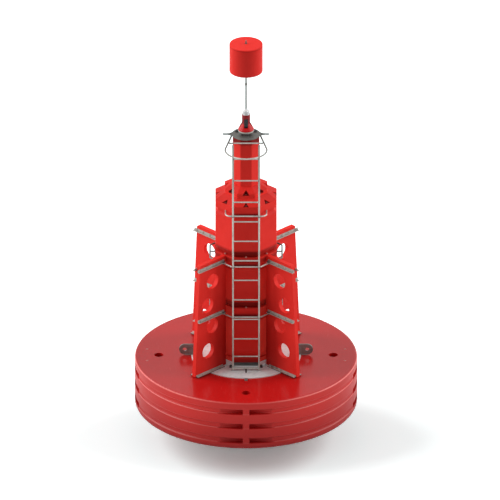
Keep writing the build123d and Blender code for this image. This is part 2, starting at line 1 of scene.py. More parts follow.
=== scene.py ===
import math

import bmesh
import bpy
from mathutils import Matrix, Vector


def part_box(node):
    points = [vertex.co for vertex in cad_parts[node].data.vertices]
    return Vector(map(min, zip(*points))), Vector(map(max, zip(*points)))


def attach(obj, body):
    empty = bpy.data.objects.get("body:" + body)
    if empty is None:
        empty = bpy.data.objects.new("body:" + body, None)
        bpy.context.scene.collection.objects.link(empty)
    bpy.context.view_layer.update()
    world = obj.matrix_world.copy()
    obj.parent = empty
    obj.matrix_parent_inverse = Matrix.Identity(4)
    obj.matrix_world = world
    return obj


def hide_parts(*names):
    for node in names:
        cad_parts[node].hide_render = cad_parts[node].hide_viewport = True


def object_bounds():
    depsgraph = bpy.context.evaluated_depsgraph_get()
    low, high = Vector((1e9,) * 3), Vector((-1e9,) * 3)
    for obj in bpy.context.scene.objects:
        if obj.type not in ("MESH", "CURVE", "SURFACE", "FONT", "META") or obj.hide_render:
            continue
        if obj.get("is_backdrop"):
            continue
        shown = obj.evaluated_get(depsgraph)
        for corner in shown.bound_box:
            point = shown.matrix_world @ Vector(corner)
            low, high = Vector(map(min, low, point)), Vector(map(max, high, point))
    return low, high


# Lighted navigation buoy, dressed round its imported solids. Metres, Z up, ground at 0.
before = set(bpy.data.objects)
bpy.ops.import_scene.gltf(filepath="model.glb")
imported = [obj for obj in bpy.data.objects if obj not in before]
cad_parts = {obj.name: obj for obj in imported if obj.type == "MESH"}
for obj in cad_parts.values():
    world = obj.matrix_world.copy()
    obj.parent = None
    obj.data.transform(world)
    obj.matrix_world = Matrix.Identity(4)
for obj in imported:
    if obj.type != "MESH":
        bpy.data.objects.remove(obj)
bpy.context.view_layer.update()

# Places taken from the solids
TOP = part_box("float_body")[1].z
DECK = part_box("deck_ring")[1].z
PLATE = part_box("top_plate")[1].z
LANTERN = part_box("lantern_body")[0].z
LENS_LOW, LENS_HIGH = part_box("lantern_lens")
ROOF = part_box("tower_roof")[0].z
HOOP_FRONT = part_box("guard_hoop")[0].y
STILE_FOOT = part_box("ladder_stiles")[0].z
BALLAST_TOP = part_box("ballast_discs")[1].z
CAN_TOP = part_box("topmark_can")[1].z

# Sizes of the solids that their boxes don't give. Levels and feet are above the float.
STILE_X, STILE_Y, STILE_R = 0.176, -0.5088, 0.0125
BEND_LEVEL = 2.546  # where the stiles start to lean in
END_Y, END_LEVEL = -0.223, 3.280  # their upper ends
RUNG_R = 0.010
RUNG_LEVELS = [0.046, 0.223] + [0.486 + 0.2925 * i for i in range(10)]
TIE_R = 0.010
TIE_REACH = 0.480  # from the axis to where a tie bar meets a fin
TIE_LEVELS = (0.800, 1.553, 2.312)
MODULE_FEET = (0.146, 0.898, 1.650)
MODULE_NECK = 0.622  # above the module's foot
# Roof tiers: reach of the flats, foot of the slope above the roof's foot, rise of the
# slope, and inner end of the bolt pockets
ROOF_TIERS = ((0.414, 0.011, 0.595, 0.300), (0.288, 0.144, 0.600, 0.200))
GROOVES = (0.617, 0.830, 1.043)  # middles of the float's grooves, above the ground
GROOVE_HALF = 0.037
FIN_ANGLES = (45, 135, 225, 315)
FACE_ANGLES = range(0, 360, 45)
QUARTER_ANGLES = range(0, 360, 90)
SIDES = (1, -1)

# Camera: parallel view from the front, looking down
VIEW_DOWN = math.radians(25.8)
VIEW_WIDTH = 6.75
VIEW_AWAY = 20
VIEW_END = 200
AIM = Vector((0.0535, 0, 2.752))
camera_data = bpy.data.cameras.new("camera")
camera_data.type = "ORTHO"
camera_data.ortho_scale = VIEW_WIDTH
camera_data.clip_end = VIEW_END
camera = bpy.data.objects.new("camera", camera_data)
camera.location = AIM + VIEW_AWAY * Vector((0, -math.cos(VIEW_DOWN), math.sin(VIEW_DOWN)))
camera.rotation_euler = (math.radians(90) - VIEW_DOWN, 0, 0)
bpy.context.scene.collection.objects.link(camera)
bpy.context.scene.camera = camera
bpy.context.scene.view_settings.view_transform = "Standard"


def tint(code):
    """Linear colour of a six-digit screen colour."""
    shares = [int(code[i:i + 2], 16) / 255 for i in (0, 2, 4)]
    return [s / 12.92 if s < 0.04045 else ((s + 0.055) / 1.055) ** 2.4 for s in shares] + [1]


def spaced(named):
    """Socket names as the shader has them, with spaces."""
    return {key.replace("_", " "): value for key, value in named.items()}


class Wire:
    """A shader value that can be added, scaled and compared."""

    def __init__(self, tree, socket):
        self.tree = tree
        self.socket = socket

    def math(self, operation, *values):
        values = dict(enumerate(values))
        return self.tree.node("ShaderNodeMath", values, {"operation": operation})

    def __add__(self, other):
        return self.math("ADD", self, other)

    def __sub__(self, other):
        return self.math("SUBTRACT", self, other)

    def __rsub__(self, other):
        return self.math("SUBTRACT", other, self)

    def __mul__(self, other):
        return self.math("MULTIPLY", self, other)

    def __pow__(self, other):
        return self.math("POWER", self, other)

    __radd__ = __add__
    __rmul__ = __mul__

    def size(self):
        """The value without its sign."""
        return self.math("ABSOLUTE", self)

    def fraction(self):
        """What is left over the whole number below it."""
        return self.math("FRACT", self)

    def highest(self, other):
        return self.math("MAXIMUM", self, other)

    def rises(self, low, high):
        """0 below low, 1 above high, smooth between. It falls if high is the lower."""
        values = {"Value": self, "From Min": low, "From Max": high}
        return self.tree.node("ShaderNodeMapRange", values, {"interpolation_type": "SMOOTHSTEP"})

    def near(self, middle, half):
        """1 at middle, falling to 0 at half away from it."""
        return (self - middle).size().rises(half, 0)


class Tree:
    """A node tree, with one way to add any node."""

    def __init__(self, owner):
        owner.use_nodes = True
        self.tree = owner.node_tree
        self.tree.nodes.clear()

    def node(self, kind, values=None, settings=None, out=0):
        """Any node: its settings first, then the values or links of its sockets."""
        made = self.tree.nodes.new(kind)
        for key, value in (settings or {}).items():
            setattr(made, key, value)
        for key, value in (values or {}).items():
            if isinstance(value, Wire):
                self.tree.links.new(value.socket, made.inputs[key])
            else:
                made.inputs[key].default_value = value
        return None if out is None else Wire(self, made.outputs[out])

    def seen(self):
        """1 for what the camera sees, by itself, in a reflection or through clear plastic."""
        kinds = ("Is Camera Ray", "Is Glossy Ray", "Is Transmission Ray")
        camera_ray, glossy_ray, clear_ray = (
            self.node("ShaderNodeLightPath", out=kind) for kind in kinds
        )
        return (camera_ray + glossy_ray + clear_ray).rises(0, 1)


class Finish(Tree):
    """A material: one Principled shader, fed by Object coordinates."""

    def __init__(self, name, **constants):
        self.material = bpy.data.materials.new(name)
        super().__init__(self.material)
        surface = self.node("ShaderNodeBsdfPrincipled", spaced(constants))
        self.node("ShaderNodeOutputMaterial", {"Surface": surface}, out=None)
        self.shader = surface.socket.node
        self.place = self.node("ShaderNodeTexCoord", out="Object")

    def axis(self, name):
        return self.node("ShaderNodeSeparateXYZ", {0: self.place}, out=name)

    def radius(self):
        """Distance from the buoy's axis."""
        return ((self.axis("X") ** 2) + (self.axis("Y") ** 2)) ** 0.5

    def flat_reach(self):
        """Distance of an eight-sided shape's faces from the axis, alike all along a face."""
        x, y = self.axis("X").size(), self.axis("Y").size()
        return x.highest(y).highest((x + y) * math.sqrt(0.5))

    def stretched(self, x, y, z):
        return self.node("ShaderNodeMapping", {"Vector": self.place, "Scale": (x, y, z)})

    def noise(self, scale, detail=3, rough=0.5, place=None):
        values = {"Vector": place or self.place, "Scale": scale, "Detail": detail,
                  "Roughness": rough}
        return self.node("ShaderNodeTexNoise", values)

    def flakes(self, scale):
        """Flat crystals, each with a share of its own."""
        values = {"Vector": self.place, "Scale": scale}
        cells = self.node("ShaderNodeTexVoronoi", values, out="Color")
        return self.node("ShaderNodeSeparateXYZ", {0: cells}, out="X")

    def facing(self, name):
        """How far a face looks along an axis, from -1 to 1."""
        normal = self.node("ShaderNodeNewGeometry", out="Normal")
        return self.node("ShaderNodeSeparateXYZ", {0: normal}, out=name)

    def up(self):
        """1 on faces that look up, 0 on upright ones."""
        return self.facing("Z").rises(0.2, 0.95)

    def blend(self, first, second, share):
        """Two colours mixed, each a wire or a six-digit screen colour."""
        first, second = (tint(c) if isinstance(c, str) else c for c in (first, second))
        values = {0: share, 6: first, 7: second}
        return self.node("ShaderNodeMix", values, {"data_type": "RGBA"}, out=2)

    def feed(self, **wires):
        for key, wire in spaced(wires).items():
            self.tree.links.new(wire.socket, self.shader.inputs[key])

    def relief(self, height, strength, distance):
        values = {"Height": height, "Strength": strength, "Distance": distance}
        self.feed(Normal=self.node("ShaderNodeBump", values))


# Finishes. Their shares and soft edges are given; heights and reaches are in metres.
def moulded_plastic(name, body, pale, deep, rough, gloss, mottle=1.0):
    """Rotationally moulded polyethylene: fine pebble, soft mottling and rubbed spots."""
    made = Finish(name, IOR=1.5, Specular_IOR_Level=gloss)
    cloud = made.noise(1.7, 4, 0.6)
    grain = made.noise(320, 2)
    ripple = made.noise(14, 2)
    streak = made.noise(9, 4, 0.65, made.stretched(1, 1, 0.12))
    rub = made.noise(46, 5, 0.7).rises(0.62, 0.74)
    colour = made.blend(body, deep, cloud.rises(0.45, 0.72) * (0.35 * mottle))
    colour = made.blend(colour, pale, streak.rises(0.56, 0.80) * (0.22 * mottle))
    colour = made.blend(colour, pale, rub * 0.25)
    made.feed(Roughness=rough + 0.10 * cloud + 0.08 * rub)
    made.relief(grain * 0.35 + ripple * 0.65, 0.16, 0.0016)
    return made, colour


def tower_finish():
    """Red of the tower, with painted shade under its ledges and plate, in its pockets, low in
    front and at its foot, painted light low on its diagonal faces, and tops darkened as painted
    shade, more where dust lies.
    """
    made, colour = moulded_plastic("tower_plastic", "F3342C", "FF5A4C", "DC241E", 0.46, 0.12)
    y, z = made.axis("Y").size(), made.axis("Z")
    front = made.facing("Y").size().rises(0.72, 0.88)
    # Painted shade low on the front faces between the fins, painted light low on the diagonal
    # faces
    low = z.rises(TOP + 1.9, TOP + 0.3)
    colour = made.blend(colour, "B01A14", low * front * 0.20)
    colour = made.blend(colour, "FF6A58", low * (1 - front) * 0.45)
    # Painted shade in each module's neck, mostly on the front faces
    for level in MODULE_FEET:
        neck_shade = z.near(TOP + level + MODULE_NECK, 0.070) * (0.05 + 0.85 * front)
        colour = made.blend(colour, "4E0808", neck_shade)
    # Painted shade on the downward bevel above each module joint
    for level in MODULE_FEET[1:]:
        joint = TOP + level
        bevel = z.rises(joint - 0.004, joint + 0.006) * z.rises(joint + 0.125, joint + 0.070)
        colour = made.blend(colour, "5A0A08", bevel * (0.55 + 0.25 * front))
    reach = made.flat_reach()
    # Painted shade in the roof's bolt pockets, lighter on the left and right faces
    for edge, foot, rise, inner in ROOF_TIERS:
        skin = (edge - reach) * rise + (ROOF + foot)
        pocket = (skin - z).rises(0.003, 0.010) * reach.rises(edge - 0.0015, edge - 0.0025)
        pocket = pocket * reach.rises(inner - 0.01, inner) * z.rises(ROOF + 0.002, ROOF + 0.005)
        colour = made.blend(colour, "4A0808", pocket * (0.3 + 0.5 * y.rises(0.05, 0.15)))
    foot_shade = z.rises(TOP + 0.24, TOP + 0.09) * (0.04 + 0.60 * front)
    colour = made.blend(colour, "4A0A08", foot_shade)
    # Painted shadow on the mast under the top plate
    colour = made.blend(colour, "4C0606", z.rises(PLATE - 0.115, PLATE - 0.060) * 0.8)
    # Faces that look up darkened as painted shade, more in patches of dust
    dust = made.noise(5, 5, 0.65).rises(0.42, 0.70)
    colour = made.blend(colour, "C4201A", made.up() * (0.55 + 0.25 * dust))
    # Painted shade just below the third module's foot
    shade_under_joint = z.near(TOP + MODULE_FEET[2] - 0.050, 0.075)
    colour = made.blend(colour, "5A0A08", shade_under_joint * 0.60)
    made.feed(Base_Color=colour)
    return made.material


def fin_finish():
    """Red of the fins, with painted shade near the tower and the deck, scuffed on the outer
    edges.
    """
    made, colour = moulded_plastic("fin_plastic", "F3342C", "FF5A4C", "DE261F", 0.46, 0.12)
    z, radius = made.axis("Z"), made.radius()
    # Painted shade near the tower and low down, between the fins
    inner = radius.rises(0.90, 0.42) * z.rises(TOP + 1.7, TOP + 0.2)
    colour = made.blend(colour, "8E120E", inner * 0.65)
    colour = made.blend(colour, "8E120E", z.rises(TOP + 0.75, TOP + 0.30) * 0.22)
    scuff = radius.rises(0.86, 1.0) * made.noise(38, 4, 0.7).rises(0.50, 0.72)
    colour = made.blend(colour, "FF6A55", scuff * 0.20)
    made.feed(Base_Color=colour)
    return made.material


def float_finish():
    """Red of the float: glossy top, matt side with painted light, shade and sheen, and painted
    highlights along the lips at the rim and the grooves, broken up by wear.
    """
    made, colour = moulded_plastic("float_plastic", "BC1817", "C63A38", "A81211", 0.24, 0.18, 0.7)
    aside, z, radius, up = made.axis("X").size(), made.axis("Z"), made.radius(), made.up()
    side = radius.rises(1.38, 1.46)
    upright = side - side * up
    shaded_flanks = aside.rises(0.55, 1.35) * upright
    # Painted light: the upright side paler than the top
    colour = made.blend(colour, "EE3431", upright)
    # Painted shade on the left and right of the side
    colour = made.blend(colour, "A83B39", shaded_flanks * 0.60)
    # Painted pink sheen on the front and back of the side
    colour = made.blend(colour, "CC4C48", (upright - shaded_flanks) * 0.30)
    # Painted highlights along the rim and the groove lips, broken up by wear and stronger towards
    # the sides
    lip_highlights = z.near(TOP - 0.012, 0.013) * radius.rises(1.474, 1.490)
    for middle in GROOVES:
        lip_highlights = lip_highlights + z.near(middle - GROOVE_HALF, 0.0085)
        lip_highlights = lip_highlights + z.near(middle + GROOVE_HALF, 0.0045) * 0.30
    wear = made.noise(30, 5, 0.7, made.stretched(1, 1, 2.5)).rises(0.32, 0.60)
    lip_highlights = lip_highlights * side * (0.60 + 0.40 * wear)
    colour = made.blend(colour, "FF8C86", lip_highlights * (0.30 + 0.65 * aside.rises(0.1, 0.9)))
    scratches = made.noise(7, 6, 0.8, made.stretched(6, 0.5, 1)).rises(0.60, 0.66)
    colour = made.blend(colour, "D8605E", scratches * up * 0.18)
    # Painted shade on the lower side and the bottom
    colour = made.blend(colour, "8A1214", z.rises(1.05, 0.55) * side * 0.50)
    colour = made.blend(colour, "7E1416", z.rises(0.60, 0.48) * 0.45)
    made.feed(Base_Color=colour, Coat_Weight=up * 0.09, Roughness=0.26 + 0.20 * upright)
    return made.material


def topmark_finish():
    """Red of the can, with the shade of the line under its lid."""
    made, colour = moulded_plastic("topmark_plastic", "EE332D", "F64A40", "D4201A", 0.48, 0.10)
    line = made.axis("Z").near(CAN_TOP - 0.0215, 0.0055)
    made.feed(Base_Color=made.blend(colour, "8E1412", line * 0.6))
    return made.material


def lantern_finish():
    """Red of the lantern's body, deeper at its neck."""
    made = Finish("lantern_plastic", Specular_IOR_Level=0.22, IOR=1.5)
    colour = made.blend("D01418", "AC0E14", made.noise(30, 3).rises(0.4, 0.7) * 0.5)
    colour = made.blend(colour, "7C0818", made.radius().rises(0.066, 0.056) * 0.75)
    made.feed(Base_Color=colour, Roughness=0.26 + 0.10 * made.noise(90, 3))
    made.relief(made.noise(420, 2), 0.06, 0.0006)
    return made.material


def zinc(name, body, pale, deep, rough, metal, spangle=70):
    """Hot-dip zinc: flat crystals, runs and dull patches."""
    made = Finish(name, Metallic=metal, IOR=1.6)
    flakes = made.flakes(spangle)
    patch = made.noise(11, 5, 0.65)
    spots = made.noise(160, 3, 0.6).rises(0.66, 0.74)
    colour = made.blend(body, pale, flakes * 0.55)
    colour = made.blend(colour, deep, patch.rises(0.48, 0.75) * 0.55)
    colour = made.blend(colour, deep, spots * 0.5)
    made.feed(Base_Color=colour, Roughness=rough + 0.16 * patch + 0.08 * flakes)
    made.relief(made.noise(240, 3) * 0.6 + flakes * 0.4, 0.12, 0.0009)
    return made, colour


def bar_finish():
    """Zinc of the bars, with painted shade high up, on the hoop's legs and beside the tower."""
    made, colour = zinc("galvanised_steel", "A9A49E", "C2BDB6", "7F7A75", 0.36, 0.70)
    x, y, z = (made.axis(name) for name in "XYZ")
    aside = x.size()
    # Painted shade on the bars out at the sides above the roof
    high = z.rises(ROOF + 0.10, ROOF + 0.40)
    colour = made.blend(colour, "6E6B66", high * aside.rises(0.155, 0.166) * 0.65)
    # Deeper painted shade on the hoop's legs
    legs = aside.rises(0.200, 0.215) * y.rises(HOOP_FRONT + 0.18, HOOP_FRONT + 0.42)
    colour = made.blend(colour, "4C4A46", high * legs * 0.50)
    # Painted shade on the bars beside the tower's left and right faces
    shade_beside_tower = aside.rises(0.36, 0.42) * y.size().rises(0.34, 0.28)
    colour = made.blend(colour, "3E4442", shade_beside_tower * z.rises(TOP + 0.05, TOP + 0.10) * 0.75)
    made.feed(Base_Color=colour)
    return made.material


def plate_finish():
    """Grey steel of the top plate, darker out along its arms."""
    made, colour = zinc("plate_steel", "666663", "7E7E78", "454643", 0.38, 0.6, 55)
    arms = made.axis("X").size().rises(0.170, 0.230)
    made.feed(Base_Color=made.blend(colour, "383A38", arms * 0.6))
    return made.material


def foot_rail_finish():
    """Zinc of the bars at the fins' feet, pale on top, with painted shade on the edges."""
    made, colour = zinc("foot_rail_steel", "BAB4AE", "CEC8C1", "8A857F", 0.38, 0.5, 60)
    # Painted shade on every face that does not look up
    made.feed(Base_Color=made.blend("241F1D", colour, made.up()))
    return made.material


def deck_finish():
    """Pale zinc of the deck and the collar, with painted light on the collar's other faces,
    painted shade on its front and back under the tower, and darker past the deck's rim, on the
    tabs.
    """
    made, colour = zinc("deck_steel", "DCE8E8", "F0F8F8", "B4C0C0", 0.46, 0.12, 34)
    z, radius = made.axis("Z"), made.radius()
    front = made.facing("Y").size().rises(0.75, 0.92)
    # Painted light on the collar, except on its front and back faces
    colour = made.blend(colour, "FFFFFF", z.rises(DECK, DECK + 0.004) * (1 - front) * 0.8)
    # Painted shade on the collar's front and back faces, under the tower's base
    collar = z.rises(DECK - 0.004, DECK + 0.036)
    colour = made.blend(colour, "2E2C2A", collar * front * 0.95)
    colour = made.blend(colour, "4C403E", radius.rises(0.741, 0.750) * 0.85)
    made.feed(Base_Color=colour)
    return made.material


def cell_finish():
    """Dark cells behind glass, with fine silver conductor lines."""
    line_gap = 0.013
    made = Finish("cell_glass", Coat_Weight=0.2, Coat_Roughness=0.05, IOR=1.5,
                  Specular_IOR_Level=0.15)
    line = (made.axis("Z") * (1 / line_gap)).fraction().near(0.5, 0.10)
    colour = made.blend("0C1216", "1B2B38", made.noise(60, 3).rises(0.4, 0.65))
    colour = made.blend(colour, "5A6468", line * 0.5)
    made.feed(Base_Color=colour, Roughness=0.22 + 0.10 * made.noise(120))
    return made.material


def iron_finish():
    """Cast iron of the ballast, with rust in patches."""
    made = Finish("ballast_iron", IOR=1.45)
    rust = made.noise(16, 6, 0.7).rises(0.56, 0.76)
    colour = made.blend("26272A", "3A3B3D", made.noise(40, 4).rises(0.4, 0.65))
    colour = made.blend(colour, "5B3322", rust * 0.55)
    made.feed(Base_Color=colour, Roughness=0.55 + 0.25 * rust)
    made.relief(made.noise(130, 4, 0.6), 0.45, 0.0018)
    return made.material


def lens_finish():
    """Clear plastic of the lens, with a faint haze."""
    made = Finish("lens_clear", Transmission_Weight=0.25, IOR=1.46)
    haze = made.noise(60, 3)
    colour = made.blend("F4F6F6", "E4E8EA", haze.rises(0.4, 0.7))
    made.feed(Base_Color=colour, Roughness=0.16 + 0.12 * haze)
    return made.material


def plain_zinc(*look):
    """Zinc that is alike all over."""
    made, colour = zinc(*look)
    made.feed(Base_Color=colour)
    return made.material


def plain_moulding(name, body, second, rough):
    """Small nylon, rubber or board parts."""
    made = Finish(name, IOR=1.46)
    colour = made.blend(body, second, made.noise(80, 4).rises(0.4, 0.65))
    made.feed(Base_Color=colour, Roughness=rough + 0.15 * made.noise(200))
    made.relief(made.noise(380, 2), 0.12, 0.0006)
    return made.material


# Colours of body, pale and deep spots, then roughness, metal share and crystals per metre
PLAIN_ZINCS = {
    "rail_steel": ("A8A29C", "BDB7B0", "7C7771", 0.38, 0.6, 60),
    "dark_steel": ("767673", "8F8F89", "505150", 0.38, 0.7, 55),
    "old_steel": ("3A3634", "4C4744", "26221F", 0.50, 0.4, 90),
    "pocket_steel": ("6C2420", "80342E", "481412", 0.50, 0.2, 90),
    "red_steel": ("C0706A", "D08880", "8A4A46", 0.50, 0.3, 90),
    "bright_steel": ("5E5856", "726C69", "484341", 0.24, 0.95, 320),
}
# Two colours and roughness
PLAIN_MOULDINGS = {
    "pale_nylon": ("D9D6CE", "BDBAB2", 0.40),
    "black_rubber": ("17181A", "26282A", 0.55),
    "anode_zinc": ("8E9193", "6F7375", 0.62),
    "lamp_board": ("E9E6D8", "C9C6B4", 0.30),
}
FINISHES = {
    "tower_plastic": tower_finish(),
    "fin_plastic": fin_finish(),
    "float_plastic": float_finish(),
    "topmark_plastic": topmark_finish(),
    "lantern_plastic": lantern_finish(),
    "galvanised_steel": bar_finish(),
    "plate_steel": plate_finish(),
    "deck_steel": deck_finish(),
    "foot_rail_steel": foot_rail_finish(),
    "cell_glass": cell_finish(),
    "ballast_iron": iron_finish(),
    "lens_clear": lens_finish(),
    **{name: plain_zinc(name, *look) for name, look in PLAIN_ZINCS.items()},
    **{name: plain_moulding(name, *look) for name, look in PLAIN_MOULDINGS.items()},
}
NODE_FINISHES = {
    "float_plastic": ("float_body",),
    "tower_plastic": (
        "tower_base", "tower_module_1", "tower_module_2", "tower_module_3",
        "tower_roof", "upper_tower",
    ),
    "fin_plastic": ("fin_front_left", "fin_front_right", "fin_back_left", "fin_back_right"),
    "topmark_plastic": ("topmark_can",),
    "lantern_plastic": ("lantern_body",),
    "cell_glass": ("lantern_cells",),
    "lens_clear": ("lantern_lens",),
    "ballast_iron": ("ballast_discs",),
    "deck_steel": ("deck_ring", "tower_collar", "base_ring"),
    "plate_steel": ("top_plate",),
    "dark_steel": ("lifting_eye_right", "lifting_eye_left", "mooring_eyes", "topmark_knob"),
    "rail_steel": ("fin_rails_lower", "fin_rails_upper"),
    "foot_rail_steel": ("fin_foot_rails",),
    "bright_steel": ("topmark_pole", "topmark_collar", "lantern_spacers"),
    "galvanised_steel": (
        "core_tube", "tail_gussets", "foot_plate", "tie_bars_lower", "tie_bars_upper",
        "tie_bar_top", "ladder_stiles", "ladder_rungs", "guard_hoop", "hoop_crossbar",
    ),
}
for finish, names in NODE_FINISHES.items():
    for name in names:
        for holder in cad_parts[name].material_slots:
            holder.material = FINISHES[finish]


# Shapes
def bevelled(mesh, edge, segments):
    """The shape, with all its edges bevelled."""
    bmesh.ops.bevel(mesh, geom=mesh.edges[:], offset=edge, offset_type="OFFSET",
                    segments=segments, profile=0.5, affect="EDGES", material=-1)
    return mesh


def moved(mesh, by):
    """The shape, moved."""
    bmesh.ops.translate(mesh, verts=mesh.verts, vec=by)
    return mesh


def rotated(mesh, degrees, axis):
    """The shape, turned about an axis through the origin."""
    turn = Matrix.Rotation(math.radians(degrees), 3, axis)
    bmesh.ops.rotate(mesh, verts=mesh.verts, cent=(0, 0, 0), matrix=turn)
    return mesh


def turned(profile, steps, closed=False):
    """Solid of revolution about Z from (radius, height) points.

    A closed profile ends where it starts; an open one starts and ends on the axis.
    """
    mesh = bmesh.new()
    points = [mesh.verts.new((r, 0, z)) for r, z in profile]
    edges = [mesh.edges.new(pair) for pair in zip(points, points[1:])]
    if closed:
        edges.append(mesh.edges.new((points[-1], points[0])))
    bmesh.ops.spin(mesh, geom=points + edges, cent=(0, 0, 0), axis=(0, 0, 1),
                   angle=2 * math.pi, steps=steps, use_merge=True)
    bmesh.ops.remove_doubles(mesh, verts=mesh.verts, dist=1e-6)
    bmesh.ops.recalc_face_normals(mesh, faces=mesh.faces)
    return mesh


def prism(radius, low, high, sides, edge):
    """Upright prism, its edges bevelled by a small width."""
    mesh = bmesh.new()
    middle = Matrix.Translation((0, 0, (low + high) / 2))
    bmesh.ops.create_cone(mesh, cap_ends=True, segments=sides, radius1=radius,
                          radius2=radius, depth=high - low, matrix=middle)
    return bevelled(mesh, edge, 1)


def block(size, centre, edge):
    """Box, its edges rounded over a small width."""
    mesh = bmesh.new()
    bmesh.ops.create_cube(mesh, size=1)
    bmesh.ops.scale(mesh, verts=mesh.verts, vec=size)
    return moved(bevelled(mesh, edge, 2), centre)


def held(shape):
    """The shape as mesh data, to be copied from."""
    data = bpy.data.meshes.new("held")
    shape.to_mesh(data)
    shape.free()
    return data


def joined(*shapes):
    """Several shapes as one mesh."""
    whole = bmesh.new()
    for shape in shapes:
        data = held(shape)
        whole.from_mesh(data)
        bpy.data.meshes.remove(data)
    return whole


def at_places(shape, places):
    """The shape at each place, as one mesh. A place is a matrix."""
    data = held(shape)
    whole = bmesh.new()
    for place in places:
        start = len(whole.verts)
        whole.from_mesh(data)
        whole.verts.ensure_lookup_table()
        bmesh.ops.transform(whole, matrix=place, verts=whole.verts[start:])
    bpy.data.meshes.remove(data)
    return whole


def piece(name, mesh, finish, smooth=35):
    """A finished piece of the buoy, shaded smooth below an angle in degrees."""
    for edge in mesh.edges:
        edge.smooth = edge.calc_face_angle(0) < math.radians(smooth)
    data = bpy.data.meshes.new(name)
    mesh.to_mesh(data)
    mesh.free()
    for face in data.polygons:
        face.use_smooth = True
    data.materials.append(FINISHES[finish])
    made = bpy.data.objects.new(name, data)
    bpy.context.scene.collection.objects.link(made)
    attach(made, "root")
    return made


def fitted(name, shape, places, finish, smooth=35):
    """One shape at all its places, as a finished piece."""
    piece(name, at_places(shape, places), finish, smooth)


# Places
def about(angle, axis="Z"):
    """A turn about an axis, in degrees."""
    return Matrix.Rotation(math.radians(angle), 4, axis)


def spot(radius, angle, height, spin=0.0):
    """Place on a circle about the axis, local x pointing outwards. The spin is in radians."""
    out = Matrix.Translation((radius, 0, height))
    return about(angle) @ out @ Matrix.Rotation(spin, 4, "Z")


def fin_place(angle, along, side, height):
    """Place beside a fin: along it from the axis, out from its middle, and up."""
    return about(angle) @ Matrix.Translation((along, side, height))


def facing_out(side):
    """Turns a shape's top away from the fin, to the side given by the sign."""
    return Matrix.Rotation(-math.copysign(math.pi / 2, side), 4, "X")


def hex_bolt(across, height, stud=0.0):
    """Washer, hexagon head and, if it has one, the end of a stud."""
    washer_top, head_foot = 0.0028, 0.0025  # the head starts a hair inside the washer
    washer = prism(across * 0.66, 0, washer_top, 24, 0.0006)
    head = prism(across / math.sqrt(3), head_foot, head_foot + height, 6, across * 0.045)
    parts = [washer, head]
    if stud:
        parts.append(prism(across * 0.27, height, height + stud, 12, 0.0012))
    return joined(*parts)


SEAT = 0.0002  # hair's breadth under a fastener, so that no two faces lie in one plane

# Bolts that hold the tower's modules and roof together
LEDGE_REACH = 0.397
LEDGE_SPIN = 11  # degrees from one bolt head to the next
POCKET_FLOORS = ((0.385, 0.0061), (0.258, 0.1161))  # from the axis, above the roof's foot
ledge_places = [
    spot(LEDGE_REACH, angle, TOP + level + SEAT, spin=math.radians(LEDGE_SPIN * i))
    for level in MODULE_FEET[1:]
    for i, angle in enumerate(FACE_ANGLES)
]
fitted("ledge_bolts", hex_bolt(0.022, 0.012), ledge_places, "red_steel")
pocket_places = [
    spot(reach, angle, ROOF + height, spin=0.4)
    for reach, height in POCKET_FLOORS
    for angle in FACE_ANGLES
]
fitted("roof_bolts", hex_bolt(0.021, 0.012, 0.006), pocket_places, "pocket_steel")

# Bolts in the deck ring round the collar
DECK_BOLT_REACH = 0.455
DECK_BOLT_ASIDE = 26.8  # degrees to each side of the front, the back and the eyes
deck_places = [
    spot(DECK_BOLT_REACH, middle + side * DECK_BOLT_ASIDE, DECK + SEAT, spin=0.3)
    for middle in QUARTER_ANGLES
    for side in SIDES
]
fitted("deck_bolts", hex_bolt(0.034, 0.024, 0.010), deck_places, "old_steel")

# Upright legs along the feet of the fins, and dark strips as painted shade in the deck's slots
LEG_SIZE = (0.507, 0.006, 0.015)
LEG_ALONG, LEG_SIDE, LEG_UP = 0.7315, 0.0334, 0.0164
SLOT_REACH = 0.526
STRIP_BODY, STRIP_LIP = (0.0112, 0.0952, 0.0112), (0.020, 0.112, 0.003)
leg_places = [
    fin_place(angle, LEG_ALONG, side * LEG_SIDE, DECK + LEG_UP)
    for angle in FIN_ANGLES
    for side in SIDES
]
fitted("foot_rail_legs", block(LEG_SIZE, (0, 0, 0), 0.001), leg_places, "rail_steel")
# Dark strips put in the slots as painted shade
strip = joined(block(STRIP_BODY, (0, 0, -0.006), 0.001), block(STRIP_LIP, (0, 0, 0.0018), 0.001))
strip_places = [Matrix.Translation((0, side * SLOT_REACH, DECK)) for side in SIDES]
fitted("slot_shade_strips", strip, strip_places, "black_rubber")

# Through bolts in the rails, on both sides of every fin. A rail's flat leg lies on the tie
# bar; its upright leg, with the bolts, stands on it.
RAIL_FACE = 0.0365  # from the fin's middle to the upright leg's face
RAIL_FOOT = TIE_R + 0.0003  # from the tie bar's middle to the flat leg
RAIL_THICK = 0.006
RAIL_BOLT_UP = 0.022
RAIL_BOLTS = (0.530, 0.655, 0.780, 0.905)  # along the fin, from the axis
FOOT_BOLTS = (0.520, 0.610, 0.700)
FOOT_BOLT_SIDE, FOOT_RAIL_THICK = 0.055, 0.0085
rail_places = [
    fin_place(angle, along, side * RAIL_FACE, TOP + level + RAIL_FOOT + RAIL_BOLT_UP)
    @ facing_out(side)
    for angle in FIN_ANGLES
    for along in RAIL_BOLTS
    for side in SIDES
    for level in TIE_LEVELS[:2]
]
fitted("rail_bolts", hex_bolt(0.018, 0.008, 0.005), rail_places, "galvanised_steel")
foot_places = [
    fin_place(angle, along, side * FOOT_BOLT_SIDE, DECK + FOOT_RAIL_THICK)
    for angle in FIN_ANGLES
    for along in FOOT_BOLTS
    for side in SIDES
]
fitted("foot_rail_bolts", hex_bolt(0.020, 0.010, 0.005), foot_places, "rail_steel")

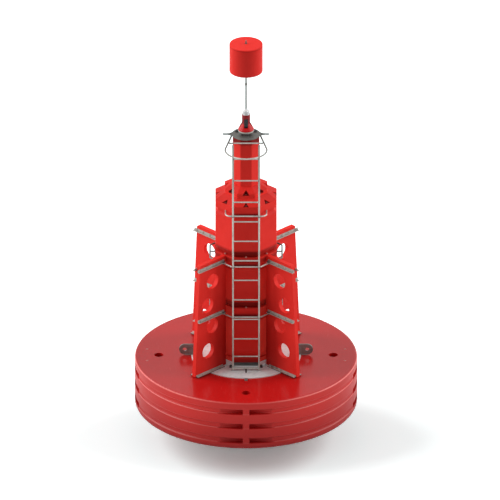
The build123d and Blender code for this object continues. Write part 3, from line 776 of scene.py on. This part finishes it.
# Welds at the ends of the rungs
weld = turned([
    (RUNG_R - 0.0015, -0.0035), (RUNG_R + 0.0035, -0.0035),
    (RUNG_R + 0.0022, 0.0005), (RUNG_R - 0.0015, 0.0035),
], 14, closed=True)
WELD_X = STILE_X - STILE_R - 0.0010
BEND = Vector((0, STILE_Y, TOP + BEND_LEVEL))
LEAN = (Vector((0, END_Y, TOP + END_LEVEL)) - BEND).normalized()
weld_places = []
for level in RUNG_LEVELS:
    past = TOP + level - BEND.z
    middle = BEND + (LEAN if past > 0 else Vector((0, 0, 1))) * past
    for side in SIDES:
        end = Matrix.Translation(middle + Vector((side * WELD_X, 0, 0)))
        weld_places.append(end @ about(-side * 90, "Y"))
fitted("rung_welds", weld, weld_places, "galvanised_steel", smooth=60)


def u_bolt(bar, back):
    """U-bolt round an upright bar, with a saddle plate and nuts at a distance behind it."""
    rod_radius, gap, past_plate, plate_thick = 0.004, 0.0005, 0.014, 0.004
    reach = bar + rod_radius + gap
    rod = bmesh.new()
    start = Matrix.Translation((reach, 0, 0)) @ about(90, "X")
    bmesh.ops.create_circle(rod, segments=10, radius=rod_radius, matrix=start)
    bmesh.ops.spin(rod, geom=rod.verts[:] + rod.edges[:], cent=(0, 0, 0), axis=(0, 0, 1),
                   angle=-math.pi, steps=14, use_merge=False)
    open_edges = [edge for edge in rod.edges if edge.is_boundary]
    legs = bmesh.ops.extrude_edge_only(rod, edges=open_edges)["geom"]
    ends = [part for part in legs if isinstance(part, bmesh.types.BMVert)]
    bmesh.ops.translate(rod, verts=ends, vec=(0, back + past_plate, 0))
    bmesh.ops.holes_fill(rod, edges=[edge for edge in rod.edges if edge.is_boundary])
    bmesh.ops.recalc_face_normals(rod, faces=rod.faces)
    plate = block((2 * reach + 0.016, plate_thick, 0.020), (0, back + plate_thick / 2, 0), 0.001)
    nuts = [
        moved(rotated(prism(0.0078, 0, 0.006, 6, 0.0006), -90, "X"),
              (side * reach, back + plate_thick, 0))
        for side in SIDES
    ]
    return joined(rod, plate, *nuts)


# Clamps of the stiles and the rails on the tie bars, and caps under the stiles
STILE_BACK = 0.0331  # from a stile's middle to the back of the tie bar behind it
RAIL_CLAMP_SIDE = 0.056
CAP_DEPTH = 0.014
clamp_places = [
    Matrix.Translation((side * STILE_X, STILE_Y, TOP + level))
    for level in TIE_LEVELS
    for side in SIDES
]
fitted("stile_clamps", u_bolt(STILE_R, STILE_BACK), clamp_places, "bright_steel",
       40)
rail_clamp_places = [
    fin_place(angle, TIE_REACH, side * RAIL_CLAMP_SIDE, TOP + level) @ about(90, "X")
    for angle in FIN_ANGLES
    for side in SIDES
    for level in TIE_LEVELS[:2]
]
fitted("rail_clamps", u_bolt(TIE_R, RAIL_FOOT + RAIL_THICK + SEAT), rail_clamp_places,
       "bright_steel", 40)
cap = turned([
    (0, -CAP_DEPTH), (0.0140, -CAP_DEPTH), (0.0165, -0.012), (0.0165, 0.020), (0.0128, 0.020),
    (0, 0.018),
], 20)
cap_places = [Matrix.Translation((side * STILE_X, STILE_Y, STILE_FOOT)) for side in SIDES]
fitted("stile_caps", cap, cap_places, "galvanised_steel", smooth=40)

# Welds of the collar and the lifting eyes
COLLAR_BEAD = ((0.392, 0.0), (0.404, 0.0), (0.402, 0.006), (0.396, 0.009))  # at its flats
HALF_FACE = 22.5
CORNER = 1 / math.cos(math.radians(HALF_FACE))  # reach of a corner for a flat's reach of 1
bead = turned([(reach * CORNER, DECK + z) for reach, z in COLLAR_BEAD], 8, closed=True)
piece("collar_weld", rotated(bead, HALF_FACE, "Z"), "deck_steel", 60)
EYE_BEAD = (0.200, 0.007, 0.007)
EYE_REACH, EYE_FACE = 0.722, 0.0145
eye_beads = [
    block(EYE_BEAD, (side * EYE_REACH, across * EYE_FACE, DECK + 0.002), 0.0025)
    for side in SIDES
    for across in SIDES
]
piece("eye_welds", joined(*eye_beads), "dark_steel", 60)

# Tail: anodes on the tube, nuts on the studs through the ballast
ANODE_SIZE, ANODE_REACH, ANODE_HEIGHT = (0.036, 0.060, 0.170), 0.319, 0.335
LUG_SIZE, LUG_REACH, LUG_UP = (0.006, 0.026, 0.022), 0.3035, 0.095
STUD_REACH = 0.386
anode = [block(ANODE_SIZE, (ANODE_REACH, 0, ANODE_HEIGHT), 0.010)]
anode += [
    block(LUG_SIZE, (LUG_REACH, 0, ANODE_HEIGHT + side * LUG_UP), 0.001)
    for side in SIDES
]
fitted("tail_anodes", joined(*anode), [about(angle) for angle in FIN_ANGLES], "anode_zinc",
       smooth=40)
stud_places = [
    spot(STUD_REACH, HALF_FACE + angle, BALLAST_TOP + SEAT, spin=0.2)
    for angle in FACE_ANGLES
]
fitted("ballast_nuts", hex_bolt(0.036, 0.026, 0.018), stud_places, "galvanised_steel")

# Lantern: ribbed lens over a lamp stack, and the ring that carries the flange
RIM = LENS_HIGH.x - SEAT
LENS_FOOT = (0, 0, LENS_LOW.z)
LENS_DEPTH = LENS_HIGH.z - LENS_LOW.z
LENS_SEAT = 0.0004
DOME_FOOT = LENS_DEPTH - RIM
WALL = 0.007
RIB_GAP, RIB_DEPTH = 0.0052, 0.0026


def dome(radius, angles):
    """Profile of a dome on the lens's upright wall, at angles in degrees from its top."""
    turns = [math.radians(angle) for angle in angles]
    return [(radius * math.sin(turn), DOME_FOOT + radius * math.cos(turn)) for turn in turns]


lens_outer = [(0, LENS_DEPTH)] + dome(RIM, range(15, 90, 15))
for i in range(3):
    high = DOME_FOOT - RIB_GAP * i
    lens_outer += [(RIM - RIB_DEPTH, high), (RIM, high - RIB_DEPTH)]
lens_outer.append((RIM, LENS_SEAT))
lens_inner = [(RIM - WALL, LENS_SEAT), (RIM - WALL, DOME_FOOT)]
lens_inner += dome(RIM - WALL, range(72, 0, -18)) + [(0, LENS_DEPTH - WALL)]
lens_mesh = moved(turned(lens_outer + lens_inner, 64), LENS_FOOT)
lens = piece("lantern_lens_ribbed", lens_mesh, "lens_clear", 30)
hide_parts("lantern_lens")

LAMP_STEM, LAMP_TIER, TIER_GAP = 0.015, 0.024, 0.012
stack = [(0, 0.0006), (0.028, 0.0006), (0.028, 0.006)]
for i in range(3):
    foot = 0.008 + TIER_GAP * i
    stack += [
        (LAMP_STEM, foot), (LAMP_STEM, foot + 0.005), (LAMP_TIER, foot + 0.007),
        (LAMP_TIER, foot + 0.010), (LAMP_STEM, foot + 0.011),
    ]
stack += [(0.009, 0.047), (0, 0.049)]
piece("lamp_stack", moved(turned(stack, 32), LENS_FOOT), "lamp_board", 30)
ring = turned([
    (0.094, -0.024), (0.102, -0.024), (0.1045, -0.021), (0.1045, -0.0004), (0.094, -0.0004),
], 48, closed=True)
piece("lantern_ring", moved(ring, (0, 0, LANTERN)), "pale_nylon", 40)

# Nuts of the lantern's spacers, under and over them
SPACER_REACH = 0.082
SPACER_TOP = 0.052
screw_places = [
    spot(SPACER_REACH, 45 + angle, PLATE + height)
    for angle in QUARTER_ANGLES
    for height in (SEAT, SPACER_TOP)
]
fitted("spacer_nuts", prism(0.0165, 0, 0.012, 6, 0.0010), screw_places, "bright_steel")

# Rubber grommets in the plate's two holes
GROMMET_X, GROMMET_Y = 0.1245, 0.0662
grommet = turned([
    (0, -0.010), (0.0195, -0.010), (0.0195, 0.0003), (0.027, 0.0003), (0.027, 0.006),
    (0.024, 0.010), (0.015, 0.010), (0.013, 0.004), (0, 0.002),
], 24)
grommet_places = [Matrix.Translation((side * GROMMET_X, GROMMET_Y, PLATE)) for side in SIDES]
fitted("plate_grommets", grommet, grommet_places, "black_rubber", 40)

# Small plugs in the float's top
PLUG_X, PLUG_Y = 1.335, 0.180
plug = turned([
    (0, -0.004), (0.018, -0.004), (0.018, 0.001), (0.014, 0.003), (0.008, 0.003),
    (0.007, 0.0005), (0, 0.0005),
], 24)
plug_places = [
    Matrix.Translation((side * PLUG_X, across * PLUG_Y, TOP))
    for side in SIDES
    for across in SIDES
]
fitted("float_plugs", plug, plug_places, "red_steel", 40)

# Floor and light
FLOOR_REACH = 60
FLOOR_SEEN = 1.50  # how pale the floor looks
FLOOR_CAST = 0.40  # how pale it is for the light it throws back on the buoy
FLOOR_RED = 0.92  # less red, so the buoy's glow leaves its shadow grey
SKY_CAST = 0.25  # the sky's light on the buoy, where 1 is what the camera sees
LIGHT_AWAY = 12

floor_pale = bpy.data.materials.new("floor_pale")
stage = Tree(floor_pale)
seen = stage.seen()
grey = seen * (FLOOR_SEEN - FLOOR_CAST) + FLOOR_CAST
red = seen * (FLOOR_SEEN * FLOOR_RED - FLOOR_CAST) + FLOOR_CAST
cool = stage.node("ShaderNodeCombineXYZ", {"X": red, "Y": grey, "Z": grey})
matt = stage.node("ShaderNodeBsdfDiffuse", {"Color": cool})
stage.node("ShaderNodeOutputMaterial", {"Surface": matt}, out=None)
floor_mesh = bmesh.new()
bmesh.ops.create_circle(floor_mesh, cap_ends=True, segments=64, radius=FLOOR_REACH)
floor_data = bpy.data.meshes.new("floor")
floor_mesh.to_mesh(floor_data)
floor_mesh.free()
floor_data.materials.append(floor_pale)
floor = bpy.data.objects.new("floor", floor_data)
bpy.context.scene.collection.objects.link(floor)
floor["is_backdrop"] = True

studio = bpy.data.worlds.new("studio")
bpy.context.scene.world = studio
sky = Tree(studio)
strength = sky.seen() * (1 - SKY_CAST) + SKY_CAST
pale = sky.node("ShaderNodeBackground", {"Strength": strength, "Color": (1, 1, 1, 1)})
sky.node("ShaderNodeOutputWorld", {"Surface": pale}, out=None)


def soft_light(name, side, height, level, spread):
    """Wide light. Its place is in degrees: to the right of the front, and above the floor."""
    turn, tilt = math.radians(side), math.radians(height)
    towards = Vector((
        math.sin(turn) * math.cos(tilt), -math.cos(turn) * math.cos(tilt), math.sin(tilt),
    ))
    data = bpy.data.lights.new(name, "SUN")
    data.angle = math.radians(spread)
    data.energy = math.pi * level
    lamp = bpy.data.objects.new(name, data)
    lamp.location = AIM + LIGHT_AWAY * towards
    lamp.rotation_euler = towards.to_track_quat("Z", "Y").to_euler()
    bpy.context.scene.collection.objects.link(lamp)


soft_light("left_light", side=-95, height=30, level=0.88, spread=60)
soft_light("right_light", side=95, height=30, level=0.72, spread=60)

low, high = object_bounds()
